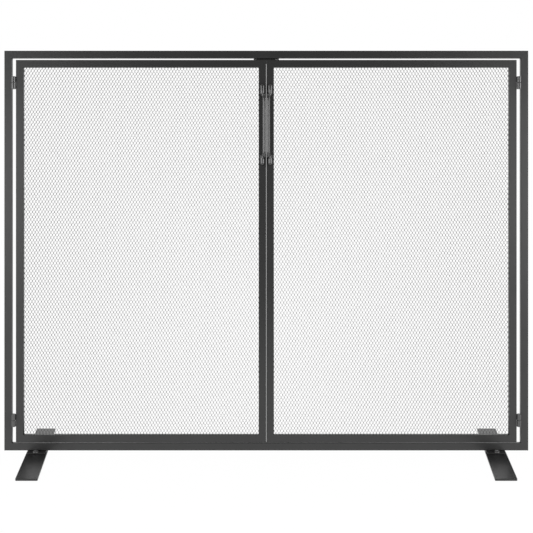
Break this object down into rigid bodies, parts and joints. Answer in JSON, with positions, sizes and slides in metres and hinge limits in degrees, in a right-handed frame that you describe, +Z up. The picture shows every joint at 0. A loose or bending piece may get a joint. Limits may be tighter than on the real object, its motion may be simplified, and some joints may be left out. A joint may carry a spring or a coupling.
{
  "type": "fireplace screen",
  "caption": "Free-standing fireplace screen: black tube frame on flat bar feet, hinged diamond-mesh doors with upright pull handles.",
  "frame": {"origin": "on the floor, under the middle of the feet and of the tubes' depth", "axes": "+X across the width to the viewer's right, +Y from front to back, +Z up; the doors open towards -Y"},
  "size_m": [0.9906, 0.3048, 0.762],
  "materials": {
    "frame_coat": "satin",
    "foot_coat": "satin",
    "mesh": "satin",
    "hinge_black": "gloss",
    "handle_black": "gloss",
    "zinc": "satin",
    "magnet": "satin"
  },
  "bodies": {
    "frame": {"frame_top_rail": "frame_coat", "frame_bottom_rail": "frame_coat", "frame_left_upright": "frame_coat", "frame_right_upright": "frame_coat", "catch_plate": "frame_coat", "left_foot": "foot_coat", "left_foot_lug": "frame_coat", "left_foot_front_screw": "zinc", "left_foot_back_screw": "zinc", "left_catch_magnet": "magnet", "left_upper_hinge_frame_knuckle": "hinge_black", "left_upper_hinge_pin": "zinc", "left_lower_hinge_frame_knuckle": "hinge_black", "left_lower_hinge_pin": "zinc", "right_foot": "foot_coat", "right_foot_lug": "frame_coat", "right_foot_front_screw": "zinc", "right_foot_back_screw": "zinc", "right_catch_magnet": "magnet", "right_upper_hinge_frame_knuckle": "hinge_black", "right_upper_hinge_pin": "zinc", "right_lower_hinge_frame_knuckle": "hinge_black", "right_lower_hinge_pin": "zinc"},
    "left_door": {"left_upper_hinge_door_knuckle": "hinge_black", "left_lower_hinge_door_knuckle": "hinge_black", "left_door_top_rail": "frame_coat", "left_door_bottom_rail": "frame_coat", "left_door_inner_stile": "frame_coat", "left_door_outer_stile": "frame_coat", "left_door_mesh": "mesh", "left_door_top_strip": "frame_coat", "left_door_bottom_strip": "frame_coat", "left_door_inner_strip": "frame_coat", "left_door_outer_strip": "frame_coat", "left_handle": "handle_black"},
    "right_door": {"right_upper_hinge_door_knuckle": "hinge_black", "right_lower_hinge_door_knuckle": "hinge_black", "right_door_top_rail": "frame_coat", "right_door_bottom_rail": "frame_coat", "right_door_inner_stile": "frame_coat", "right_door_outer_stile": "frame_coat", "right_door_mesh": "mesh", "right_door_top_strip": "frame_coat", "right_door_bottom_strip": "frame_coat", "right_door_inner_strip": "frame_coat", "right_door_outer_strip": "frame_coat", "right_handle": "handle_black"}
  },
  "joints": [
    {"name": "left_door_swing", "type": "hinge", "parent": "frame", "child": "left_door", "pos_m": [-0.47725, -0.0056, 0.38], "axis": [0, 0, -1], "range_deg": [0, 175]},
    {"name": "right_door_swing", "type": "hinge", "parent": "frame", "child": "right_door", "pos_m": [0.47725, -0.0056, 0.38], "axis": [0, 0, 1], "range_deg": [0, 175]}
  ]
}
